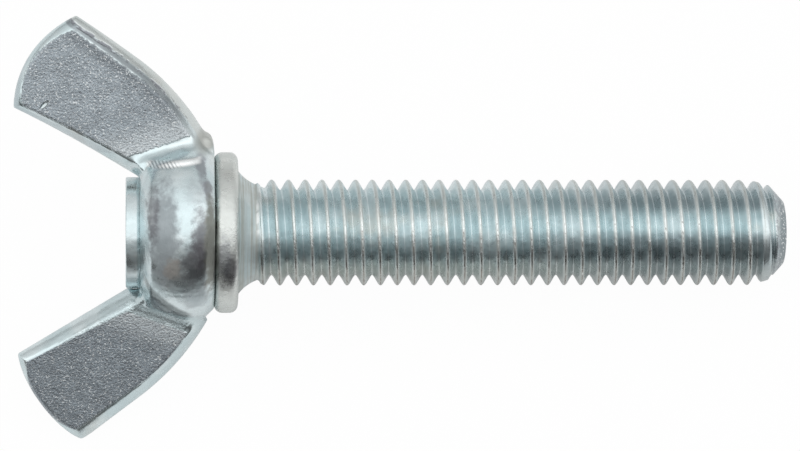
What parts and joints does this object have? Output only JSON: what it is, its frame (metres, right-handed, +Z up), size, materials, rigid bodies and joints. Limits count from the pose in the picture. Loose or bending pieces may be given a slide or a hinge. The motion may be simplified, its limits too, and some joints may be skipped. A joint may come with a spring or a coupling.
{
  "type": "wing screw",
  "caption": "Zinc plated steel wing screw: a forged winged head riveted onto a metric threaded stem with a bearing collar, for tightening by hand.",
  "frame": {"origin": "middle of the resting footprint, on the surface the screw lies on", "axes": "+X from the wings towards the thread's point, nearly along the stem; +Y from the lower wing to the raised wing; +Z up"},
  "size_m": [0.0574, 0.0294, 0.0147],
  "materials": {
    "head_zinc": "satin",
    "stem_zinc": "satin"
  },
  "bodies": {
    "root": {"wing_head": "head_zinc", "threaded_stem": "stem_zinc"}
  },
  "joints": []
}
